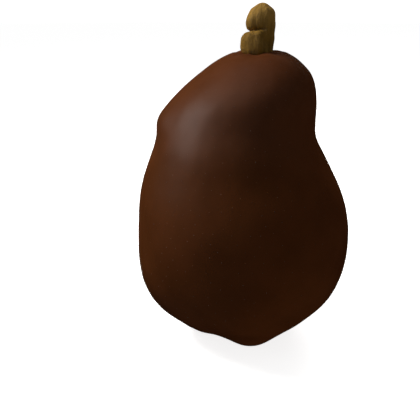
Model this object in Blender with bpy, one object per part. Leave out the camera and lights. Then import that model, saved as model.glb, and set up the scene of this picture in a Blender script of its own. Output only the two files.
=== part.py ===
"""A fresh pear that stands on its own foot: fruit, stem, five dried sepals and a tuft of dried stamens.

Metres, +Z up. The origin is on the surface that the pear stands on, under the middle of its outline.
-Y is the front, and +X is the side that the neck leans to. The shapes are drawn in millimetres.
"""

import math

import bmesh
import bpy
import numpy as np
from mathutils import Matrix, Vector
from mathutils.geometry import interpolate_bezier

MM = 0.001

# Fruit: (radius, height) of its plain outline, from the top of the hollow underneath and round the foot
# up to the edge of the socket that the stem stands in.
HOLLOW = [(0.0, 6.8), (4.0, 6.4), (7.6, 3.8), (10.2, 0.9)]
BODY = [
    (13.4, -0.2),
    (17.5, 1.8),
    (23.0, 7.2),
    (30.6, 15.0),
    (35.2, 26.0),
    (36.0, 38.0),
    (34.3, 52.0),
    (29.8, 63.0),
    (26.5, 71.5),
    (24.8, 78.0),
    (21.8, 85.6),
    (17.3, 91.5),
    (12.0, 95.8),
    (7.8, 97.7),
    (5.5, 97.8),
]
SOCKET = [(5.4, 95.0), (0.0, 95.0)]
# (height, distance) that the fruit's middle line leans towards +X.
LEAN = [
    (0.0, 0.6),
    (8.0, 0.6),
    (20.0, 0.0),
    (40.0, 0.0),
    (53.0, -1.2),
    (63.0, -2.3),
    (71.0, -2.4),
    (77.5, -1.9),
    (85.5, 0.6),
    (91.0, 3.2),
    (95.0, 3.8),
    (99.0, 3.8),
]
FLAT = 0.8  # the height under which the foot is pressed flat
FRUIT_SEGMENTS = 72

# The five seed chambers show as soft lobes round the foot: (direction in degrees, strength).
LOBES = [(-82, 1.1), (-8, 0.7), (56, 0.9), (128, 1.0), (196, 1.5)]
LOBE_SHARPNESS = 7.0
LOBE_SWELL = 0.11  # share of the radius
LOBE_LIFT = 3.0  # how far the foot draws up between two lobes
LOBE_LIFT_TOP = 22.0  # the height where that has faded out
LOBE_MEAN = 0.6
LOBE_TOP = 46.0  # the height where the lobes have faded out
LOBE_START = (4.0, 14.0)  # the radius where they start, and where they are full

# Soft swellings and dents: (height, direction, how far out, spread up and down, spread round in degrees).
SHOULDER = (77.0, 180, 2.0, 4.2, 24)  # on the side that the neck leans away from
WAIST_LEFT = (70.5, 180, -0.8, 3.6, 24)
WAIST_RIGHT = (71.0, 0, -1.4, 4.0, 40)

# Stem: (radius, height) of its plain outline, and (height, towards +X, towards +Y) of its middle line.
STEM = [
    (0.0, 95.3),
    (4.6, 95.3),
    (5.0, 96.2),
    (5.2, 99.6),
    (5.1, 102.2),
    (4.7, 103.6),
    (4.2, 104.4),
    (4.5, 105.4),
    (4.6, 107.2),
    (4.2, 109.0),
    (3.4, 110.3),
    (1.9, 111.5),
    (0.7, 112.2),
    (0.0, 112.3),
]
STEM_BEND = [
    (95.3, 3.8, 0.0),
    (98.0, 3.8, 0.0),
    (100.2, 3.6, -0.5),
    (102.4, 3.9, -0.4),
    (104.4, 4.9, 0.7),
    (107.2, 4.5, -0.1),
    (110.3, 4.7, -0.3),
    (112.3, 4.8, 0.2),
]
STEM_SEGMENTS = 20

# Calyx: the dried flower parts, round the point (CALYX, 0) in the hollow.
CALYX = 0.6
SEPALS = 5
SEPAL_TURN = math.radians(-54)
SEPAL = [(0.0, 0.0), (1.1, 0.4), (1.6, 2.0), (1.3, 4.2), (0.6, 6.2), (0.0, 7.2)]  # (half width, along)
SEPAL_PATH = [(2.9, 5.5), (4.6, 5.0), (6.4, 3.8), (7.7, 2.5), (8.9, 2.0)]  # (from the middle, height)
SEPAL_THICKNESS = 0.3  # share of its width
SEPAL_SEGMENTS = 10
STAMENS = [(0.0, 6.3), (1.5, 6.2), (2.0, 5.2), (1.7, 4.0), (2.1, 2.8), (1.6, 2.4), (0.8, 3.2), (0.0, 3.4)]
STAMEN_TIPS = 10
STAMEN_SPREAD = 0.14  # how far each tip stands out, as a share of the radius

SPANS = 2  # rings between two points of an outline
BEND_SPANS = 8  # steps between two points of a middle line
SEPAL_SPANS = 6
SEPAL_LOOK_AHEAD = 0.2  # how far along a sepal its slope is read
MERGE = 0.001  # points nearer than this are one

# Finishes: (red, green, blue, roughness)
SKIN = (0.115, 0.038, 0.017, 0.4)
BARK = (0.17, 0.105, 0.04, 0.7)
DRIED_LEAF = (0.085, 0.045, 0.02, 0.8)
DRIED_TUFT = (0.045, 0.027, 0.014, 0.9)


def smooth_step(low, high, value):
    """0 up to low, 1 from high, and an even slope between them."""
    t = min(max((value - low) / (high - low), 0.0), 1.0)
    return t * t * (3 - 2 * t)


def smooth_curve(points, spans=SPANS):
    """Points along a smooth curve through the given points, with so many spans between each two."""
    given = [Vector(p) for p in points]
    slopes = [(b - a).normalized() for a, b in zip([given[0], *given], [*given[1:], given[-1]])]
    curve = []
    for a, b, slope_a, slope_b in zip(given, given[1:], slopes, slopes[1:]):
        reach = (b - a).length / 3
        curve += interpolate_bezier(a, a + slope_a * reach, b - slope_b * reach, b, spans + 1)[:-1]
    return [*curve, given[-1]]


def follow(points):
    """A function that reads a smooth curve's other values at its first one, such as a height."""
    table = np.array([list(p) for p in smooth_curve(points, BEND_SPANS)])
    return lambda value: [float(np.interp(value, table[:, 0], column)) for column in table[:, 1:].T]


def turned(outline, segments):
    """A closed mesh turned from an outline of (radius, height) that starts and ends on the axis."""
    bm = bmesh.new()
    verts = [bm.verts.new((radius, 0, height)) for radius, height in outline]
    edges = [bm.edges.new(pair) for pair in zip(verts, verts[1:])]
    bmesh.ops.spin(
        bm,
        geom=[*verts, *edges],
        cent=(0, 0, 0),
        axis=(0, 0, 1),
        angle=math.tau,
        steps=segments,
        use_duplicate=False,
    )
    bmesh.ops.remove_doubles(bm, verts=bm.verts, dist=MERGE)
    return bm


def bump(feature, height, angle):
    """How far a swelling or a dent moves the skin out at this height and in this direction."""
    middle, direction, far, spread_up, spread_round = feature
    rise = (height - middle) / spread_up
    turn = (math.degrees(angle) - direction + 180) % 360 - 180
    return far * math.exp(-(rise**2 + (turn / spread_round) ** 2) / 2)


def make_fruit():
    """The flesh and skin, with the hollow underneath and the stem's socket on top."""
    lean = follow(LEAN)
    bm = turned([*smooth_curve([*HOLLOW, *BODY]), *SOCKET], FRUIT_SEGMENTS)
    for vert in bm.verts:
        radius, height = math.hypot(vert.co.x, vert.co.y), vert.co.z
        angle = math.atan2(vert.co.y, vert.co.x)
        turns = [(math.cos(angle - math.radians(turn)), strength) for turn, strength in LOBES]
        ridges = [(math.exp(LOBE_SHARPNESS * (near - 1)), strength) for near, strength in turns]
        outside = smooth_step(*LOBE_START, radius)
        swell = LOBE_SWELL * outside * (1 - smooth_step(0, LOBE_TOP, height))
        lift = LOBE_LIFT * outside * (1 - smooth_step(0, LOBE_LIFT_TOP, height))
        radius *= 1 + swell * (sum(ridge * strength for ridge, strength in ridges) - LOBE_MEAN)
        radius += sum(bump(feature, height, angle) for feature in (SHOULDER, WAIST_LEFT, WAIST_RIGHT))
        height += lift * (1 - sum(ridge for ridge, _ in ridges))
        middle = lean(height)[0]
        vert.co = (middle + radius * math.cos(angle), radius * math.sin(angle), max(height, FLAT))
    return add_object("fruit", bm, SKIN)


def make_stem():
    """The woody stalk: a swollen foot and a swollen tip, bent back between them."""
    bend = follow(STEM_BEND)
    bm = turned(smooth_curve(STEM), STEM_SEGMENTS)
    for vert in bm.verts:
        vert.co += Vector((*bend(vert.co.z), 0))
    return add_object("stem", bm, BARK)


def make_sepal(number):
    """A dried sepal: a pointed tongue that curls out and down from the middle of the hollow."""
    path = smooth_curve(SEPAL_PATH, SEPAL_SPANS)
    lengths = np.cumsum([0, *((b - a).length for a, b in zip(path, path[1:]))])
    bm = turned(smooth_curve(SEPAL, 1), SEPAL_SEGMENTS)
    for vert in bm.verts:
        along = vert.co.z
        reach, height = (float(np.interp(along, lengths, [p[axis] for p in path])) for axis in (0, 1))
        on = along + SEPAL_LOOK_AHEAD
        ahead, below = (float(np.interp(on, lengths, [p[axis] for p in path])) for axis in (0, 1))
        slope = Vector((ahead - reach, below - height)).normalized()
        rise = vert.co.y * SEPAL_THICKNESS
        vert.co = (reach - slope.y * rise, vert.co.x, height + slope.x * rise)
    turn = SEPAL_TURN + math.tau * number / SEPALS
    place = Matrix.Translation((CALYX, 0, 0)) @ Matrix.Rotation(turn, 4, "Z")
    bmesh.ops.transform(bm, matrix=place, verts=bm.verts)
    return add_object(f"sepal_{number + 1}", bm, DRIED_LEAF)


def make_stamens():
    """The dried stamens, stuck together in one tuft with a crown of tips."""
    bm = turned(smooth_curve(STAMENS, 1), STAMEN_TIPS * 2)
    for vert in bm.verts:
        angle = math.atan2(vert.co.y, vert.co.x)
        spread = 1 + STAMEN_SPREAD * math.cos(STAMEN_TIPS * angle)
        vert.co = (CALYX + vert.co.x * spread, vert.co.y * spread, vert.co.z)
    return add_object("stamens", bm, DRIED_TUFT)


def finish(name, values):
    """A plain material: its colour and its roughness."""
    material = bpy.data.materials.new(name)
    material.use_nodes = True
    shader = material.node_tree.nodes["Principled BSDF"]
    shader.inputs["Base Color"].default_value = (*values[:3], 1)
    shader.inputs["Roughness"].default_value = values[3]
    return material


def add_object(name, bm, values):
    """Turns a mesh drawn in millimetres into an object in metres, with its own material."""
    bmesh.ops.recalc_face_normals(bm, faces=bm.faces)
    bmesh.ops.scale(bm, vec=(MM, MM, MM), verts=bm.verts)
    mesh = bpy.data.meshes.new(name)
    bm.to_mesh(mesh)
    bm.free()
    mesh.shade_smooth()
    mesh.materials.append(finish(name, values))
    piece = bpy.data.objects.new(name, mesh)
    bpy.context.collection.objects.link(piece)
    return piece


def stand_on_origin(pieces):
    """Moves every piece alike, so that the origin is under the middle of the outline, on the ground."""
    corners = np.array([vert.co for piece in pieces for vert in piece.data.vertices])
    low, high = corners.min(axis=0), corners.max(axis=0)
    middle = (low + high) / 2
    for piece in pieces:
        piece.data.transform(Matrix.Translation((-middle[0], -middle[1], -low[2])))


def main():
    """Makes the pear in an empty scene."""
    for old in list(bpy.data.objects):
        bpy.data.objects.remove(old)
    sepals = [make_sepal(number) for number in range(SEPALS)]
    stand_on_origin([make_fruit(), make_stem(), *sepals, make_stamens()])


main()
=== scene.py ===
"""The looks of a fresh russet pear round its solid model: skin, pores, stem, dried calyx and stage.

Laid out as an add-on and run as a script. Lengths are in metres, unless a comment says millimetres.
"""

import math
from random import Random

import bmesh
import bpy
import numpy as np
from bpy.props import FloatProperty, FloatVectorProperty, IntProperty, PointerProperty
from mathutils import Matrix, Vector, noise
from mathutils.geometry import interpolate_bezier


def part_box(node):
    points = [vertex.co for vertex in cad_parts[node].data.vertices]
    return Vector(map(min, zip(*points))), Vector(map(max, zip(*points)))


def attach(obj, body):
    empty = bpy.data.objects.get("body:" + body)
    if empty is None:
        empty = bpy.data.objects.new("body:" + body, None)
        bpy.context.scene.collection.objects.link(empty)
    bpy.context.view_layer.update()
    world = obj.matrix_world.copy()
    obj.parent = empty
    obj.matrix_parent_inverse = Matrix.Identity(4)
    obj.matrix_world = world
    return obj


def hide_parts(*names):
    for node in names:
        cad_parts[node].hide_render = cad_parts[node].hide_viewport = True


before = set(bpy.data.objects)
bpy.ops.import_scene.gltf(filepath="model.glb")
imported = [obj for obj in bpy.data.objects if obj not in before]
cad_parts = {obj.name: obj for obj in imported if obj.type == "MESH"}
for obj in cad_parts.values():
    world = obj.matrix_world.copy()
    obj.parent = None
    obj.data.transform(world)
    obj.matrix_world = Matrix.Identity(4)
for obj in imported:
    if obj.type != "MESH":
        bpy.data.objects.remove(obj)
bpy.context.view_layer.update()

bl_info = {
    "name": "Russet Pear",
    "version": (1, 0, 0),
    "blender": (4, 5, 0),
    "location": "View3D > Sidebar > Pear",
    "description": "Makes a fresh russet pear with its stem, calyx and studio stage",
    "category": "Object",
}

MM = 0.001
BODY = "root"
SEPAL_NODES = [f"sepal_{number}" for number in range(1, 6)]


def middle(low, high):
    """The point half way between two corners."""
    return (Vector(low) + Vector(high)) / 2


STEM_LOW, STEM_HIGH = (Vector(corner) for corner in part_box("stem"))
STAMENS_LOW, STAMENS_HIGH = (Vector(corner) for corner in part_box("stamens"))
CALYX = middle(STAMENS_LOW, STAMENS_HIGH)
FRUIT_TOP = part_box("fruit")[1][2]
CALYX_BASE = STAMENS_HIGH.z  # where the dried flower parts grow from
STEM_FOOT = Vector((STEM_LOW.x + 5.4 * MM, 0.0, 0.0))  # the middle of the socket
STEM_AXIS = Vector((STEM_LOW.x + 5.6 * MM, 0.0, 0.0))  # the middle of the stem
GOLDEN_ANGLE = math.radians(137.508)
WELD = 1e-6  # points of a solid nearer than this are one
SEAM = 0.5e-6  # points of a finished mesh nearer than this are one
SLIVER = 1e-7  # an edge shorter than this goes
PAIR_FOLD, PAIR_SKEW = math.radians(50), math.radians(60)  # limits for two triangles to make a quad

# Skin: each span is (0 up to here, 1 from here) of a ramp.
NECK = 73 * MM  # the height of the crease where the neck meets the body
NECK_REACH = 4.5 * MM
EASE_RIGHT = (20, 50)  # degrees away from +X
EASE_FRONT = (12, 32)  # degrees away from -X, in front
EASE_BACK = (12, 90)  # degrees away from -X, behind
DOME = 90 * MM  # the stem's puckers and dimple lie over this height
HOLLOW_TOP = 12 * MM  # the calyx's puckers lie under this height
HOLLOW_REACH = 12 * MM
RIM = 7.5 * MM  # the radius where puckers are deepest
LUMPS_ROUND_STEM = (6.5 * MM, 16 * MM)
LUMPS_OVER_FOOT = (0.0, 4 * MM)
DIMPLE_REACH = 9 * MM
DIMPLE_SIDE = (0.0, 0.8)
SOCKET_EDGE = (5.4 * MM, 8.4 * MM)
SOCKET_PULL = 0.34  # how far the socket's edge is drawn in to the stem, as a share of its radius
RUSSET_ROUND_STEM = (4 * MM, 46 * MM)
RUSSET_ROUND_CALYX = (6 * MM, 20 * MM)
POLISH_RISE = (60 * MM, 80 * MM)  # the heights between which the wax starts to shine
BODY_POLISH = 0.09  # the wax on the body, as a share of the wax on the neck

# Stem: two outlines of (radius, height above its foot) in millimetres, point for point.
KNOBS = math.radians(-150)  # the direction of the knobs: left, and a little to the front
KNOB_SIDE = [
    (0.0, 17.1),
    (0.9, 16.9),
    (2.0, 16.3),
    (3.3, 15.2),
    (4.0, 13.8),
    (4.4, 12.1),
    (4.35, 10.7),
    (3.9, 9.4),
    (3.0, 8.5),
    (4.6, 8.1),
    (5.5, 7.3),
    (5.9, 6.0),
    (6.05, 4.6),
    (5.9, 3.3),
    (5.5, 2.3),
    (4.9, 1.4),
    (4.5, 0.0),
    (0.0, 0.0),
]
SPINE_SIDE = [
    (0.0, 17.1),
    (1.0, 16.9),
    (2.2, 16.2),
    (3.7, 15.0),
    (4.45, 13.2),
    (4.7, 11.4),
    (4.75, 10.2),
    (4.7, 9.3),
    (4.65, 8.6),
    (4.6, 8.1),
    (4.55, 7.3),
    (4.4, 6.0),
    (4.25, 4.6),
    (4.15, 3.3),
    (4.15, 2.3),
    (4.3, 1.4),
    (4.4, 0.0),
    (0.0, 0.0),
]
STEM_SPANS = 4
STEM_SIDES = 72
STEM_RIDGES = 11
KNOB_SPAN = (0.05, 0.6)  # the cosine of the turn away from the knobs
TIP_SPAN = (11 * MM, 17 * MM)  # the tip leans over between these heights
TILT_START = (3 * MM, 8 * MM)  # the crease between the knobs tilts from here
TILT_END = (11 * MM, 16 * MM)  # to here
PAINTED_LIGHT_TIP = (9 * MM, 2 * MM)  # under the tip, the bark is painted pale from the first to the second: a painted highlight for the light on the tip's top
BARK_EDGE = (0.0, 2 * MM)  # no bark relief on the poles
BARK_FOOT = (0.0, 1 * MM)  # nor in the socket

SEPAL_TURN = math.radians(-54)
SEPAL_FLAT = 0.13  # a sepal's thickness as a share of its width
TUFT_RADIUS = 1.1 * MM
PAD_RADIUS = 1.7 * MM
PAD_RISE = 0.34  # the pad's height as a share of its radius
PAD_LUMPS = 0.5 * MM
PORE_RISE = 0.45  # a pore's height as a share of its radius
PORES_OFF_STEM = 8 * MM
SHOULDER_TOP = 80 * MM  # the stem's clear ring of pores lies over this height
PORES_OFF_CALYX = 13 * MM
PORES_OFF_FLOOR = 1 * MM

FLOOR_RADIUS = 3.0
BACKDROP_RADIUS = 2.9
FLOOR_GLOW, BACKDROP_GLOW = 0.83, 1.0
CAMERA_AIM = Vector((-11.34 * MM, 0, 44.0 * MM))
# Lamp: (azimuth, elevation, distance, size, colour, whether only the gloss shows it)
LAMPS = {
    "key": (-100, 48, 0.55, 0.22, (1.0, 0.97, 0.93), False),
    "glint": (-81, 28, 0.55, 0.26, (1.0, 0.94, 0.90), True),
    "sheen": (-50, 68, 0.55, 0.45, (1.0, 0.94, 0.90), True),
    "fill": (72, -42, 0.60, 0.40, (1.0, 0.80, 0.45), False),
    "bounce": (-50, -58, 0.55, 0.40, (1.0, 0.85, 0.60), False),
    "rear": (160, 30, 0.60, 0.40, (1.0, 0.97, 0.93), False),
}


# ---------------------------------------------------------------- node trees


class Wire:
    """An output of a node. An expression on wires that carry numbers adds its Math nodes."""

    def __init__(self, graph, socket):
        self.graph = graph
        self.socket = socket

    def maths(self, operation, *values):
        return self.graph.add("ShaderNodeMath", {"operation": operation}, dict(enumerate(values)))

    def __add__(self, other):
        return self.maths("ADD", self, other)

    __radd__ = __add__

    def __sub__(self, other):
        return self.maths("SUBTRACT", self, other)

    def __rsub__(self, other):
        return self.maths("SUBTRACT", other, self)

    def __mul__(self, other):
        return self.maths("MULTIPLY", self, other)

    __rmul__ = __mul__

    def __truediv__(self, other):
        return self.maths("DIVIDE", self, other)

    def __pow__(self, other):
        return self.maths("POWER", self, other)

    def sine(self):
        return self.maths("SINE", self)

    def cosine(self):
        return self.maths("COSINE", self)

    def above(self, limit):
        """1 where the number is more than the limit, and 0 elsewhere."""
        return self.maths("GREATER_THAN", self, limit)

    def between(self, low, high):
        """0 up to low, 1 from high, with a smooth slope."""
        return self.graph.add(
            "ShaderNodeMapRange",
            {"interpolation_type": "SMOOTHSTEP"},
            {"Value": self, "From Min": low, "From Max": high},
        )


class Graph:
    """Adds nodes to one tree."""

    def __init__(self, tree):
        self.tree = tree

    def add(self, kind, settings=None, sockets=None, output=0):
        """One node: its settings, then the values or wires of its sockets. Gives one output's wire."""
        node = self.tree.nodes.new(kind)
        for name, value in (settings or {}).items():
            setattr(node, name, value)
        for name, value in (sockets or {}).items():
            self.plug(node.inputs[name], value)
        return Wire(self, node.outputs[output])

    def plug(self, socket, value):
        """Links a wire to a socket, or sets its value."""
        if isinstance(value, Wire):
            self.tree.links.new(value.socket, socket)
        elif value is not None:
            socket.default_value = value

    def mix(self, factor, first, second):
        """One colour blended into another."""
        colours = {0: factor, 6: opaque(first), 7: opaque(second)}
        return self.add("ShaderNodeMix", {"data_type": "RGBA"}, colours, output=2)

    def noise(self, place, scale, detail=2.0, roughness=0.5):
        """Cloudy noise from 0 to 1, with so many lumps to the metre."""
        values = {"Vector": place, "Scale": scale, "Detail": detail, "Roughness": roughness}
        return self.add("ShaderNodeTexNoise", None, values)

    def vector(self, operation, first, second=None):
        """Vector Math. A distance or a length comes from its Value output."""
        output = "Value" if operation in ("DISTANCE", "LENGTH") else "Vector"
        values = {0: first, 1: second}
        return self.add("ShaderNodeVectorMath", {"operation": operation}, values, output)

    def bump(self, height, distance, under=None):
        """A normal that stands out by height times distance."""
        values = {"Height": height, "Distance": distance, "Strength": 1.0, "Normal": under}
        return self.add("ShaderNodeBump", None, values)


class Recipe(Graph):
    """A Geometry Nodes tree. Its named inputs hold the sizes."""

    def __init__(self, name):
        super().__init__(bpy.data.node_groups.new(name, "GeometryNodeTree"))
        self.sizes = {}
        for way in ("INPUT", "OUTPUT"):
            self.tree.interface.new_socket("Geometry", in_out=way, socket_type="NodeSocketGeometry")
        self.entry = self.tree.nodes.new("NodeGroupInput")
        self.start = Wire(self, self.entry.outputs["Geometry"])

    def size(self, name, value):
        """A named input of the tree with its value: a length, a share, an angle or a whole number."""
        kind = "NodeSocketInt" if isinstance(value, int) else "NodeSocketFloat"
        socket = self.tree.interface.new_socket(name, in_out="INPUT", socket_type=kind)
        self.sizes[socket.identifier] = value
        return Wire(self, self.entry.outputs[name])

    def random(self, low, high, seed):
        """A number for each point, always the same for the same seed."""
        limits = {2: low, 3: high, "Seed": seed}
        return self.add("FunctionNodeRandomValue", {"data_type": "FLOAT"}, limits, output=1)

    def combine(self, x, y, z):
        return self.add("ShaderNodeCombineXYZ", None, {"X": x, "Y": y, "Z": z})

    def circle(self, sides):
        """The outline of a round tube of radius 1."""
        values = {"Resolution": sides, "Radius": 1.0}
        return self.add("GeometryNodeCurvePrimitiveCircle", {"mode": "RADIUS"}, values)

    def tube(self, start, bend, end, radius, outline, steps=10):
        """A tube along a curve of three points. Its radius is a wire of the way along, from 0 to 1."""
        points = {"Resolution": steps, "Start": start, "Middle": bend, "End": end}
        curve = self.add("GeometryNodeCurveQuadraticBezier", None, points)
        profile = {"Curve": curve, "Profile Curve": outline, "Scale": radius, "Fill Caps": True}
        return self.add("GeometryNodeCurveToMesh", None, profile)

    def along(self):
        """How far along its curve a point is, from 0 to 1."""
        return self.add("GeometryNodeSplineParameter")

    def joined(self, *shapes):
        node = self.tree.nodes.new("GeometryNodeJoinGeometry")
        for shape in shapes:
            self.plug(node.inputs["Geometry"], shape)
        return Wire(self, node.outputs["Geometry"])

    def placed(self, shape, move, turn=(0, 0, 0)):
        return self.add(
            "GeometryNodeTransform", None, {"Geometry": shape, "Translation": move, "Rotation": turn}
        )

    def repeated(self, shape, points, turn, scale):
        """The shape on each point."""
        values = {"Points": points, "Instance": shape, "Rotation": turn, "Scale": scale}
        return self.add("GeometryNodeInstanceOnPoints", None, values)

    def make(self, shape, material, base=None):
        """Ends the tree with the shape in its material, and gives the plain closed mesh it makes."""
        real = self.add("GeometryNodeRealizeInstances", None, {"Geometry": shape})
        dressed = {"Geometry": real, "Material": material}
        painted = self.add("GeometryNodeSetMaterial", None, dressed)
        self.plug(self.tree.nodes.new("NodeGroupOutput").inputs["Geometry"], painted)
        name = self.tree.name
        scratch = bpy.data.objects.new(name, base or bpy.data.meshes.new(name))
        bpy.context.scene.collection.objects.link(scratch)
        modifier = scratch.modifiers.new(name, "NODES")
        modifier.node_group = self.tree
        for identifier, value in self.sizes.items():
            modifier[identifier] = value
        return closed(evaluated_mesh(scratch))


def opaque(colour):
    """A plain colour with its alpha, or a wire as it is."""
    return colour if isinstance(colour, Wire) else (*colour[:3], 1.0)


def finish_material(name, paint, look, constants):
    """A material whose varying sockets come from paint and whose even ones are plain numbers."""
    material = bpy.data.materials.new(name)
    material.use_nodes = True
    graph = Graph(material.node_tree)
    shader = material.node_tree.nodes["Principled BSDF"]
    for socket, value in {**constants, **paint(graph, look)}.items():
        graph.plug(shader.inputs[socket], value)
    return material


# ---------------------------------------------------------------- materials


def paint_skin(graph, look):
    """Chestnut skin: cloudy tones, orange russet round the stem and the calyx, and fine flecks."""
    place = graph.add("ShaderNodeTexCoord", output="Object")
    height = graph.add("ShaderNodeSeparateXYZ", None, {"Vector": place}, output=2)
    clouds = graph.noise(place, 75, 3).between(0.3, 0.7)
    freckles = graph.noise(place, 520, 4, 0.6).between(0.35, 0.75)
    grain = graph.noise(place, 2400, 2)
    stem_foot = (STEM_FOOT.x, STEM_FOOT.y, FRUIT_TOP)
    near_stem = 1 - graph.vector("DISTANCE", place, stem_foot).between(*RUSSET_ROUND_STEM)
    near_calyx = 1 - graph.vector("DISTANCE", place, tuple(CALYX)).between(*RUSSET_ROUND_CALYX)
    russet = near_stem * (0.55 + 0.45 * freckles) + near_calyx * (0.5 + 0.5 * clouds)
    fleck_cells = graph.add("ShaderNodeTexVoronoi", None, {"Vector": place, "Scale": look.flecks})
    flecks = (1 - fleck_cells.between(0.06, 0.16)) * freckles
    colour = graph.mix(0.25 + 0.5 * clouds, look.deep, look.warm)
    colour = graph.mix(0.30 * freckles, colour, look.dusk)
    colour = graph.mix(russet.between(0.0, 1.3), colour, look.russet)
    colour = graph.mix(0.35 * flecks, colour, look.fleck)
    fine = graph.bump(grain + 0.6 * freckles, look.grain)
    polish = BODY_POLISH + (1 - BODY_POLISH) * height.between(*POLISH_RISE)
    return {
        "Base Color": colour,
        "Roughness": look.roughness + 0.08 * clouds,
        "Coat Weight": look.wax * polish * (0.85 + 0.15 * clouds),
        "Normal": graph.bump(flecks, 2 * look.grain, fine),
    }


def paint_lenticel(graph, look):
    """A corky pore: pale tan, a little lighter on one than on the next."""
    place = graph.add("ShaderNodeTexCoord", output="Object")
    tone = graph.noise(place, 300, 1).between(0.3, 0.7)
    grain = graph.noise(place, 6000, 2)
    return {
        "Base Color": graph.mix(tone, look.deep, look.fleck),
        "Roughness": 0.6 + 0.2 * tone,
        "Normal": graph.bump(grain, 0.02 * MM),
    }


def paint_bark(graph, look):
    """Olive brown bark: streaks along the stem, dark creases, pale ridges and specks of wear, and a
    painted highlight on the tip.
    """
    place = graph.add("ShaderNodeTexCoord", output="Object")
    height = graph.add("ShaderNodeSeparateXYZ", None, {"Vector": place}, output=2)
    stretched = graph.add("ShaderNodeMapping", None, {"Vector": place, "Scale": (1, 1, 0.22)})
    streaks = graph.noise(stretched, 900, 5, 0.62).between(0.3, 0.72)
    patches = graph.noise(place, 220, 3).between(0.3, 0.7)
    speck_cells = graph.add("ShaderNodeTexVoronoi", None, {"Vector": place, "Scale": 900})
    specks = 1 - speck_cells.between(0.1, 0.3)
    ridge = graph.add("ShaderNodeAttribute", {"attribute_name": "ridge"}, output="Fac")
    colour = graph.mix(0.35 * streaks + 0.65 * ridge, look.crease, look.bark)
    colour = graph.mix(0.5 * patches * streaks, colour, look.worn_and_lit)
    colour = graph.mix(0.3 * specks, colour, look.worn_and_lit)
    # painted highlight: the bark is painted paler towards the tip, standing in for the light that falls
    # on its top
    tip = height.between(STEM_HIGH.z - PAINTED_LIGHT_TIP[0], STEM_HIGH.z - PAINTED_LIGHT_TIP[1])
    colour = graph.mix(0.7 * tip, colour, look.worn_and_lit)
    relief = graph.bump(streaks, 0.16 * MM)
    return {
        "Base Color": colour,
        "Roughness": 0.78 - 0.22 * ridge,
        "Normal": graph.bump(specks, 0.06 * MM, relief),
    }


def paint_dried(graph, look):
    """Papery dried leaf: brown with grey edges and fine wrinkles."""
    place = graph.add("ShaderNodeTexCoord", output="Object")
    patches = graph.noise(place, 700, 4, 0.6).between(0.3, 0.72)
    wrinkles = graph.noise(place, 2600, 3)
    return {
        "Base Color": graph.mix(patches, look.dark, look.pale),
        "Roughness": 0.7 + 0.2 * patches,
        "Normal": graph.bump(wrinkles, 0.12 * MM),
    }


def paint_floor(graph, look):
    """A matte studio floor, with only a trace of tone in it."""
    place = graph.add("ShaderNodeTexCoord", output="Object")
    tone = graph.noise(place, 9, 2)
    shade = tuple(0.985 * channel for channel in look.floor)
    return {"Base Color": graph.mix(tone, look.floor, shade)}


# ---------------------------------------------------------------- meshes


def piece(name, mesh, material, slot, *nodes):
    """A finished piece: it rides on the pear's one body and stands for the named solids."""
    made = bpy.data.objects.new(name, mesh)
    bpy.context.scene.collection.objects.link(made)
    mesh.materials.clear()
    mesh.materials.append(material)
    mesh.shade_smooth()
    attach(made, BODY)
    if nodes:
        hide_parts(*nodes)
    return made


def refined(node, levels):
    """A smooth fine mesh from a solid: its triangles paired into quads and subdivided."""
    bm = bmesh.new()
    bm.from_mesh(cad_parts[node].data)
    bmesh.ops.remove_doubles(bm, verts=bm.verts, dist=WELD)
    bmesh.ops.join_triangles(
        bm,
        faces=bm.faces,
        angle_face_threshold=PAIR_FOLD,
        angle_shape_threshold=PAIR_SKEW,
    )
    mesh = bpy.data.meshes.new(node)
    bm.to_mesh(mesh)
    bm.free()
    rough = bpy.data.objects.new(node, mesh)
    bpy.context.scene.collection.objects.link(rough)
    subdivision = rough.modifiers.new("Subdivision", "SUBSURF")
    subdivision.levels = subdivision.render_levels = levels
    return evaluated_mesh(rough)


def evaluated_mesh(scratch):
    """The plain mesh that a scratch object's modifiers give. The object is removed."""
    bpy.context.view_layer.update()
    graph = bpy.context.evaluated_depsgraph_get()
    mesh = bpy.data.meshes.new_from_object(scratch.evaluated_get(graph), depsgraph=graph)
    bpy.data.objects.remove(scratch)
    return mesh


def closed(mesh):
    """The mesh with its seams and poles merged and its faces turned outwards."""
    bm = bmesh.new()
    bm.from_mesh(mesh)
    bmesh.ops.remove_doubles(bm, verts=bm.verts, dist=SEAM)
    bmesh.ops.dissolve_degenerate(bm, edges=bm.edges, dist=SLIVER)
    bmesh.ops.recalc_face_normals(bm, faces=bm.faces)
    if bm.calc_volume(signed=True) < 0:
        bmesh.ops.reverse_faces(bm, faces=bm.faces)
    bm.to_mesh(mesh)
    bm.free()
    return mesh


def smooth_profile(points, spans):
    """Points along a smooth curve through the given ones, with so many spans between each two."""
    given = [Vector(point) for point in points]
    slopes = [(b - a).normalized() for a, b in zip([given[0], *given], [*given[1:], given[-1]])]
    curve = []
    for a, b, slope_a, slope_b in zip(given, given[1:], slopes, slopes[1:]):
        reach = (b - a).length / 3
        curve += interpolate_bezier(a, a + slope_a * reach, b - slope_b * reach, b, spans + 1)[:-1]
    return [*curve, given[-1]]


def ringed(name, rings):
    """A closed mesh from rings of points, from one pole to the other. Each pole is one point."""
    count = len(rings[1])
    verts = [rings[0][0], *(point for ring in rings[1:-1] for point in ring), rings[-1][0]]
    last = len(verts) - 1
    faces = []
    for side in range(count):
        after = (side + 1) % count
        faces.append((0, 1 + after, 1 + side))
        faces.append((last, last - count + side, last - count + after))
        for row in range(len(rings) - 3):
            low, high = 1 + row * count, 1 + (row + 1) * count
            faces.append((low + side, low + after, high + after, high + side))
    mesh = bpy.data.meshes.new(name)
    mesh.from_pydata([tuple(vert) for vert in verts], [], faces)
    return closed(mesh)


def reshape(mesh, move):
    """Moves every vertex to move(place, normal)."""
    places = [move(vert.co.copy(), vert.normal.copy()) for vert in mesh.vertices]
    mesh.vertices.foreach_set("co", np.array([tuple(place) for place in places], np.float32).ravel())
    mesh.update()


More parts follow.
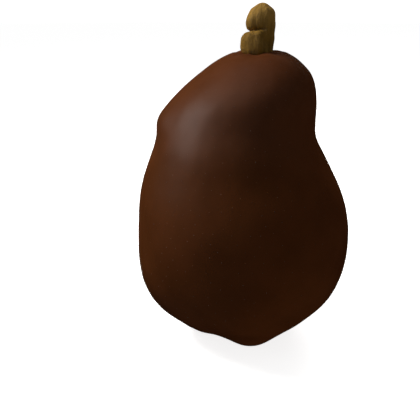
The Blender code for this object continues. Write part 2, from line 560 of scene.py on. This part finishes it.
def ramp(low, high, value):
    """0 up to low, 1 from high, with a smooth slope."""
    t = min(max((value - low) / (high - low), 0.0), 1.0)
    return t * t * (3 - 2 * t)


def around(place, middle_point):
    """How far a place is from an upright line, and in which direction."""
    x, y = place.x - middle_point.x, place.y - middle_point.y
    return math.hypot(x, y), math.atan2(y, x)


def eased(place):
    """What softens the neck's crease: 1 under it, -1 over it, and 0 at both sides of the outline."""
    rise = (place.z - NECK) / NECK_REACH
    turn = abs(math.degrees(math.atan2(place.y, place.x)))
    left = EASE_BACK if place.y > 0 else EASE_FRONT
    return -rise * math.exp(0.5 - 0.5 * rise * rise) * ramp(*EASE_RIGHT, turn) * ramp(*left, 180 - turn)


def puckers(place, middle_point, folds, wander, waves, spread):
    """Uneven folds that run out over the rim of a hollow, from -1 to 1."""
    distance, turn = around(place, middle_point)
    near = math.exp(-(((distance - RIM) / spread) ** 2))
    return near * math.cos(folds * turn + wander * math.sin(waves * turn))


def make_skin_mesh(look):
    """The fruit's skin: soft lumps, puckers round the stem and folds in the hollow underneath."""
    mesh = refined("fruit", 2)

    def move(place, normal):
        from_stem, stem_turn = around(place, STEM_FOOT)
        from_calyx = around(place, CALYX)[0]
        lump = look.lump * noise.noise(place * 62) + 0.22 * look.lump * noise.noise(place * 240)
        lump *= ramp(*LUMPS_OVER_FOOT, place.z)
        lump += look.ease * eased(place)
        if place.z > DOME:
            lump *= ramp(*LUMPS_ROUND_STEM, from_stem)
            lump += look.pucker * puckers(place, STEM_FOOT, 9, 1.5, 2, 2.2 * MM)
        if place.z < HOLLOW_TOP and from_calyx < HOLLOW_REACH:
            lump += look.pucker * puckers(place, CALYX, 10, 1.0, 3, 2.4 * MM)
        place = place + normal * lump
        if place.z > DOME:
            in_front = ramp(*DIMPLE_SIDE, math.cos(stem_turn - KNOBS))
            place.z -= look.dimple * in_front * math.exp(-((from_stem / DIMPLE_REACH) ** 2))
            pull = SOCKET_PULL * (1 - ramp(*SOCKET_EDGE, from_stem))
            place.x += pull * (STEM_FOOT.x - place.x)
            place.y += pull * (STEM_FOOT.y - place.y)
        place.z = max(place.z, 0.0)
        return place

    reshape(mesh, move)
    return mesh


def ridge_at(place):
    """How high the bark stands at a place on the stem, from 0 in a groove to 1 on a ridge."""
    wander = 1.8 * noise.noise(place * 240)
    return 0.5 + 0.5 * math.cos(STEM_RIDGES * around(place, STEM_AXIS)[1] + wander)


def make_stem_mesh(look):
    """The woody stalk: two knobs stacked on one side, a smooth spine up the other, and a peaked tip."""
    sides = (smooth_profile(side, STEM_SPANS) for side in (KNOB_SIDE, SPINE_SIDE))
    rings = []
    for knob, spine in zip(*sides):
        ring = []
        for side in range(STEM_SIDES):
            turn = math.tau * side / STEM_SIDES
            share = ramp(*KNOB_SPAN, math.cos(turn - KNOBS))
            radius, height = spine.lerp(knob, share) * MM
            across = Vector((math.cos(turn), math.sin(turn), 0))
            place = STEM_AXIS + across * radius
            place.x += look.peak * ramp(*TIP_SPAN, height)
            level = ramp(*TILT_START, height) * (1 - ramp(*TILT_END, height))
            place.z = STEM_LOW.z + height - look.tilt * level * (place.y - STEM_AXIS.y)
            bark = look.ridge * (ridge_at(place) - 0.5) + look.knot * noise.noise(place * 420)
            ring.append(place + across * bark * ramp(*BARK_EDGE, radius) * ramp(*BARK_FOOT, height))
        rings.append(ring)
    mesh = ringed("stem_bark", rings)
    ridges = mesh.attributes.new("ridge", "FLOAT", "POINT")
    ridges.data.foreach_set("value", [ridge_at(vert.co) for vert in mesh.vertices])
    return mesh


def make_sepal_mesh(number, look, material):
    """A dried sepal: a papery pointed tongue, cupped along its middle, that curls out and down."""
    recipe = Recipe(f"dried_sepal_{number + 1}")
    chance = Random(number + 3)
    place_round = SEPAL_TURN + math.tau * number / len(SEPAL_NODES)
    turn = recipe.size("Turn", place_round + chance.uniform(-0.12, 0.12))
    reach = recipe.size("Reach", look.sepal * chance.uniform(0.9, 1.04))
    width = recipe.size("Half width", look.sepal_width * chance.uniform(0.85, 1.1))
    droop = recipe.size("Tip height", chance.uniform(1.5, 2.6) * MM)
    cup = recipe.size("Cup", chance.uniform(0.25, 0.45))
    seed = recipe.size("Seed", number)

    circle = recipe.circle(16)
    spot = recipe.add("GeometryNodeInputPosition")
    flat = recipe.vector("MULTIPLY", spot, (1, SEPAL_FLAT, 1))
    across = recipe.add("ShaderNodeSeparateXYZ", None, {"Vector": spot})
    bent = recipe.vector("ADD", flat, recipe.combine(0, cup * across * across, 0))
    outline = recipe.add("GeometryNodeSetPosition", None, {"Geometry": circle, "Position": bent})

    leaf = width * ((math.pi * (0.1 + 0.9 * recipe.along())).sine() ** 0.8)
    start = (2.0 * MM, 0, CALYX_BASE - 0.4 * MM)
    bend = recipe.combine(0.72 * reach, 0, CALYX_BASE)
    tongue = recipe.tube(start, bend, recipe.combine(reach, 0, droop), leaf, outline, 20)
    clouds = recipe.noise(recipe.vector("ADD", spot, recipe.combine(seed, seed, seed)), 800, 2)
    outward = recipe.add("GeometryNodeInputNormal")
    crumple = recipe.vector("MULTIPLY", outward, (clouds - 0.5) * (2 * look.wrinkle))
    wrinkled = recipe.add("GeometryNodeSetPosition", None, {"Geometry": tongue, "Offset": crumple})
    placed = recipe.placed(wrinkled, (CALYX.x, CALYX.y, 0), recipe.combine(0, 0, turn))
    return recipe.make(placed, material)


def make_stamens_mesh(look, material):
    """A tuft of dried threads with small heads, that hang from a pad in the middle of the hollow."""
    recipe = Recipe("stamen_tuft")
    count = recipe.size("Threads", look.threads)
    length = recipe.size("Length", look.thread)
    thick = recipe.size("Thickness", look.thread_radius)
    seed = recipe.size("Seed", 7)

    outline = recipe.circle(6)
    bend = recipe.combine(0.45 * length, 0, -0.1 * length)
    end = recipe.combine(0.42 * length, 0, -1.0 * length)
    thread = recipe.tube((0, 0, 0), bend, end, thick * (1.3 - 0.6 * recipe.along()), outline)
    head = recipe.add("GeometryNodeMeshIcoSphere", None, {"Radius": 2.2 * thick, "Subdivisions": 2})
    stalk = recipe.joined(thread, recipe.placed(head, end))

    index = recipe.add("GeometryNodeInputIndex")
    turn = GOLDEN_ANGLE * index
    spread = TUFT_RADIUS * ((index + 0.5) / count) ** 0.5
    spot = recipe.combine(turn.cosine() * spread, turn.sine() * spread, 0)
    points = recipe.add("GeometryNodePoints", None, {"Count": count, "Position": spot})
    lean = recipe.combine(0, recipe.random(-0.35, 0.25, seed), turn)
    threads = recipe.repeated(stalk, points, lean, recipe.random(0.7, 1.1, seed + 1))
    ball = {"Segments": 20, "Rings": 10, "Radius": PAD_RADIUS}
    pad = recipe.add("GeometryNodeMeshUVSphere", None, ball)
    cloud = recipe.noise(recipe.add("GeometryNodeInputPosition"), 900, 2)
    outward = recipe.add("GeometryNodeInputNormal")
    rough = recipe.vector("MULTIPLY", outward, (cloud - 0.5) * PAD_LUMPS)
    pad = recipe.add("GeometryNodeSetPosition", None, {"Geometry": pad, "Offset": rough})
    pad = recipe.add("GeometryNodeTransform", None, {"Geometry": pad, "Scale": (1, 1, PAD_RISE)})
    tuft = recipe.placed(recipe.joined(threads, pad), (CALYX.x, CALYX.y, CALYX_BASE))
    return recipe.make(tuft, material)


def make_lenticels_mesh(look, material, skin):
    """Corky pores all over the skin: low domes, evenly apart and of different sizes."""
    recipe = Recipe("lenticels")
    apart = recipe.size("Apart", look.apart)
    radius = recipe.size("Radius", look.radius)
    seed = recipe.size("Seed", look.seed)

    spot = recipe.add("GeometryNodeInputPosition")
    height = recipe.add("ShaderNodeSeparateXYZ", None, {"Vector": spot}, output=2)
    from_stem = recipe.vector("MULTIPLY", recipe.vector("SUBTRACT", spot, tuple(STEM_FOOT)), (1, 1, 0))
    low = 1 - height.above(SHOULDER_TOP)
    clear = recipe.vector("LENGTH", from_stem).above(PORES_OFF_STEM) + low
    from_calyx = recipe.vector("DISTANCE", spot, tuple(CALYX)).above(PORES_OFF_CALYX)
    values = {
        "Mesh": recipe.start,
        "Selection": clear.above(0) * height.above(PORES_OFF_FLOOR) * from_calyx,
        "Distance Min": apart,
        "Density Max": 1e6,
        "Seed": seed,
    }
    method = {"distribute_method": "POISSON"}
    spread = recipe.add("GeometryNodeDistributePointsOnFaces", method, values)
    upright = Wire(recipe, spread.socket.node.outputs["Rotation"])
    pore = recipe.add("GeometryNodeMeshIcoSphere", None, {"Radius": radius, "Subdivisions": 1})
    pore = recipe.add("GeometryNodeTransform", None, {"Geometry": pore, "Scale": (1, 1, PORE_RISE)})
    pores = recipe.repeated(pore, spread, upright, recipe.random(0.55, 1.25, seed + 1))
    return recipe.make(pores, material, skin)


# ---------------------------------------------------------------- settings


def colour_property(name, description, default):
    """A colour that a user may change."""
    return FloatVectorProperty(name=name, description=description, default=default, subtype="COLOR")


def length_property(name, description, default):
    """A length in metres that a user may change."""
    return FloatProperty(name=name, description=description, default=default, subtype="DISTANCE")


def power_property(name, description, default):
    """A lamp's power that a user may change."""
    return FloatProperty(name=name, description=description, default=default, unit="POWER")


def share_property(name, description, default):
    """A number from 0 to 1 that a user may change."""
    return FloatProperty(name=name, description=description, default=default, min=0, max=1)


class SkinSettings(bpy.types.PropertyGroup):
    """The fruit's skin."""

    deep: colour_property("Deep tone", "Darkest tone of the skin", (0.061, 0.0155, 0.0012))
    warm: colour_property("Warm tone", "Lighter tone of the skin", (0.092, 0.0240, 0.0038))
    dusk: colour_property("Dusk", "Brown of the fine freckles", (0.070, 0.0215, 0.0030))
    russet: colour_property("Russet", "Corky brown round the stem", (0.095, 0.0272, 0.0082))
    fleck: colour_property("Fleck", "Tan of the pores", (0.104, 0.034, 0.0075))
    flecks: FloatProperty(name="Flecks", description="Painted flecks to the metre", default=480.0)
    roughness: share_property("Roughness", "Of the skin under its wax", 0.6)
    wax: share_property("Wax", "Strength of the neck's waxy polish", 0.30)
    grain: length_property("Grain", "Height of the finest grain", 0.018 * MM)
    lump: length_property("Lumps", "Height of the soft lumps", 0.35 * MM)
    pucker: length_property("Puckers", "Height of the folds at both ends", 0.18 * MM)
    ease: length_property("Eased neck", "How far the neck's crease is filled", 0.45 * MM)
    dimple: length_property("Dimple", "Depth of the skin in front of the stem", 0.9 * MM)


class LenticelSettings(bpy.types.PropertyGroup):
    """The pores of the skin."""

    apart: length_property("Apart", "Least distance between two pores", 2.9 * MM)
    radius: length_property("Radius", "Radius of a middling pore", 0.15 * MM)
    seed: IntProperty(name="Seed", description="Changes where the pores are", default=11)


class StemSettings(bpy.types.PropertyGroup):
    """The woody stem."""

    bark: colour_property("Bark", "Middle tone of the bark", (0.215, 0.115, 0.012))
    crease: colour_property("Crease", "Dark tone between the ridges", (0.140, 0.072, 0.006))
    # this pale tone is real wear on the ridges and specks, and also the painted highlight on the stem's
    # tip
    worn_and_lit: colour_property("Worn", "Pale tone of worn ridges and specks", (0.33, 0.190, 0.040))
    ridge: length_property("Ridges", "Height of the lengthwise ridges", 0.16 * MM)
    knot: length_property("Lumps", "Height of the bark's small lumps", 0.22 * MM)
    peak: length_property("Peak", "How far the tip leans over", 0.6 * MM)
    tilt: FloatProperty(name="Tilt", description="Slope of the crease between the knobs", default=0.22)


class CalyxSettings(bpy.types.PropertyGroup):
    """The dried flower parts in the hollow underneath."""

    dark: colour_property("Dark", "Dark brown of the dried parts", (0.035, 0.018, 0.008))
    pale: colour_property("Pale", "Grey brown of the dried parts", (0.14, 0.085, 0.045))
    sepal: length_property("Sepal reach", "How far a sepal reaches out", 8.8 * MM)
    sepal_width: length_property("Sepal width", "Half of a sepal's width", 1.6 * MM)
    wrinkle: length_property("Wrinkles", "Height of a sepal's wrinkles", 0.35 * MM)
    threads: IntProperty(name="Stamens", description="Number of dried stamens", default=22)
    thread: length_property("Stamen length", "Length of a dried stamen", 3.1 * MM)
    thread_radius: length_property("Stamen thickness", "Radius of a dried stamen", 0.13 * MM)


class StageSettings(bpy.types.PropertyGroup):
    """Floor, lights and camera."""

    floor: colour_property("Floor", "Colour of the floor", (0.86, 0.86, 0.86))
    key: power_property("Key light", "Power of the main light", 3.1)
    glint: power_property("Glint", "Power of the light that only the gloss shows", 2.7)
    sheen: power_property("Sheen", "Power of the high light that only the gloss shows", 0.8)
    fill: power_property("Fill light", "Power of the fill light", 0.55)
    bounce: power_property("Bounce", "Power of the light from under the foot", 0.22)
    rear: power_property("Rear light", "Power of the light behind", 2.2)
    air: FloatProperty(name="Air", description="Strength of the even light all round", default=0.21)
    elevation: FloatProperty(
        name="Elevation",
        description="Camera's height angle",
        default=math.radians(20),
        subtype="ANGLE",
    )
    distance: length_property("Distance", "From the camera to what it looks at", 0.2013)
    lens: FloatProperty(name="Lens", description="Focal length in millimetres", default=50.0)


# ---------------------------------------------------------------- operators


class PEAR_OT_skin(bpy.types.Operator):
    """Make the fruit's skin"""

    bl_idname = "pear.skin"
    bl_label = "Make skin"

    def execute(self, context):
        look = context.scene.pear_skin
        even = {"Specular IOR Level": 0.06, "Coat Roughness": 0.45, "Coat IOR": 1.45}
        material = finish_material("waxed_russet_skin", paint_skin, look, even)
        piece("fruit_skin", make_skin_mesh(look), material, "skin", "fruit")
        return {"FINISHED"}


class PEAR_OT_lenticels(bpy.types.Operator):
    """Make the skin's pores. The skin comes first"""

    bl_idname = "pear.lenticels"
    bl_label = "Make lenticels"

    def execute(self, context):
        material = finish_material("corky_lenticel", paint_lenticel, context.scene.pear_skin, {})
        skin = bpy.data.objects["fruit_skin"].data.copy()
        mesh = make_lenticels_mesh(context.scene.pear_lenticels, material, skin)
        piece("lenticels", mesh, material, "skin")
        return {"FINISHED"}


class PEAR_OT_stem(bpy.types.Operator):
    """Make the woody stem"""

    bl_idname = "pear.stem"
    bl_label = "Make stem"

    def execute(self, context):
        look = context.scene.pear_stem
        material = finish_material("olive_bark", paint_bark, look, {"Specular IOR Level": 0.15})
        piece("stem_bark", make_stem_mesh(look), material, "bark", "stem")
        return {"FINISHED"}


class PEAR_OT_sepals(bpy.types.Operator):
    """Make the five dried sepals"""

    bl_idname = "pear.sepals"
    bl_label = "Make sepals"

    def execute(self, context):
        look = context.scene.pear_calyx
        material = finish_material("papery_sepal", paint_dried, look, {"Specular IOR Level": 0.2})
        for number, node in enumerate(SEPAL_NODES):
            mesh = make_sepal_mesh(number, look, material)
            piece(f"dried_{node}", mesh, material, "dried_sepal", node)
        return {"FINISHED"}


class PEAR_OT_stamens(bpy.types.Operator):
    """Make the tuft of dried stamens"""

    bl_idname = "pear.stamens"
    bl_label = "Make stamens"

    def execute(self, context):
        look = context.scene.pear_calyx
        material = finish_material("dried_stamen", paint_dried, look, {"Specular IOR Level": 0.2})
        piece("stamen_tuft", make_stamens_mesh(look, material), material, "dried_tuft", "stamens")
        return {"FINISHED"}


def aim(thing, place, target):
    """Puts a light or a camera at a place and turns it to a target."""
    thing.location = place
    thing.rotation_mode = "QUATERNION"
    thing.rotation_quaternion = (Vector(target) - Vector(place)).to_track_quat("-Z", "Y")


def direction(azimuth, elevation):
    """Towards a place round the pear: azimuth 0 is the front, 90 is +X, both in degrees."""
    turn, rise = math.radians(azimuth), math.radians(elevation)
    return Vector((math.sin(turn) * math.cos(rise), -math.cos(turn) * math.cos(rise), math.sin(rise)))


def soft_light(name, power):
    """A square lamp that looks at the pear's middle."""
    azimuth, elevation, far, size, colour, gloss_only = LAMPS[name]
    lamp = bpy.data.lights.new(name, "AREA")
    lamp.size = size
    lamp.energy = power
    lamp.color = colour
    light = bpy.data.objects.new(name, lamp)
    bpy.context.scene.collection.objects.link(light)
    light.visible_diffuse = not gloss_only
    light.visible_glossy = gloss_only
    target = Vector((0, 0, FRUIT_TOP / 2))
    aim(light, target + direction(azimuth, elevation) * far, target)


def staged(name, bm, look, glow):
    """A part of the stage: it is seen, but casts no light and no shade on the pear."""
    mesh = bpy.data.meshes.new(name)
    bm.to_mesh(mesh)
    bm.free()
    thing = bpy.data.objects.new(name, mesh)
    bpy.context.scene.collection.objects.link(thing)
    even = {"Roughness": 0.9, "Emission Color": (1, 1, 1, 1), "Emission Strength": glow}
    mesh.materials.append(finish_material(f"studio_{name}", paint_floor, look, even))
    thing.visible_diffuse = thing.visible_glossy = thing.visible_shadow = False


class PEAR_OT_stage(bpy.types.Operator):
    """Make the floor, the lights and the camera"""

    bl_idname = "pear.stage"
    bl_label = "Make stage"

    def execute(self, context):
        look = context.scene.pear_stage
        disc, sphere = bmesh.new(), bmesh.new()
        bmesh.ops.create_circle(disc, cap_ends=True, segments=96, radius=FLOOR_RADIUS)
        bmesh.ops.create_uvsphere(sphere, u_segments=48, v_segments=24, radius=BACKDROP_RADIUS)
        staged("floor", disc, look, FLOOR_GLOW)
        staged("backdrop", sphere, look, BACKDROP_GLOW)
        for name in LAMPS:
            soft_light(name, getattr(look, name))

        world = bpy.data.worlds.new("studio")
        context.scene.world = world
        world.use_nodes = True
        background = world.node_tree.nodes["Background"]
        background.inputs["Color"].default_value = (1, 1, 1, 1)
        background.inputs["Strength"].default_value = look.air
        world.cycles_visibility.glossy = False

        camera = bpy.data.objects.new("camera", bpy.data.cameras.new("camera"))
        context.scene.collection.objects.link(camera)
        camera.data.lens = look.lens
        camera.data.clip_start = 0.01
        off = direction(0, math.degrees(look.elevation)) * look.distance
        aim(camera, CAMERA_AIM + off, CAMERA_AIM)
        context.scene.camera = camera
        context.scene.view_settings.view_transform = "Standard"
        return {"FINISHED"}


# ---------------------------------------------------------------- panel


MAKERS = {
    "pear_skin": [PEAR_OT_skin],
    "pear_lenticels": [PEAR_OT_lenticels],
    "pear_stem": [PEAR_OT_stem],
    "pear_calyx": [PEAR_OT_sepals, PEAR_OT_stamens],
    "pear_stage": [PEAR_OT_stage],
}
SETTINGS = {
    "pear_skin": SkinSettings,
    "pear_lenticels": LenticelSettings,
    "pear_stem": StemSettings,
    "pear_calyx": CalyxSettings,
    "pear_stage": StageSettings,
}


class PEAR_PT_maker(bpy.types.Panel):
    """The pear's sizes and colours, with the operators that make its pieces"""

    bl_idname = "PEAR_PT_maker"
    bl_label = "Russet Pear"
    bl_space_type = "VIEW_3D"
    bl_region_type = "UI"
    bl_category = "Pear"

    def draw(self, context):
        for group, makers in MAKERS.items():
            box = self.layout.box()
            for name in SETTINGS[group].__annotations__:
                box.prop(getattr(context.scene, group), name)
            for maker in makers:
                box.operator(maker.bl_idname)


OPERATORS = [maker for makers in MAKERS.values() for maker in makers]
CLASSES = (*SETTINGS.values(), *OPERATORS, PEAR_PT_maker)


def register():
    for cls in CLASSES:
        bpy.utils.register_class(cls)
    for group, settings in SETTINGS.items():
        setattr(bpy.types.Scene, group, PointerProperty(type=settings))


def unregister():
    for group in SETTINGS:
        delattr(bpy.types.Scene, group)
    for cls in reversed(CLASSES):
        bpy.utils.unregister_class(cls)


def main():
    """Makes every piece and the stage."""
    register()
    bpy.ops.pear.skin()
    bpy.ops.pear.lenticels()
    bpy.ops.pear.stem()
    bpy.ops.pear.sepals()
    bpy.ops.pear.stamens()
    bpy.ops.pear.stage()


if __name__ == "__main__":
    main()
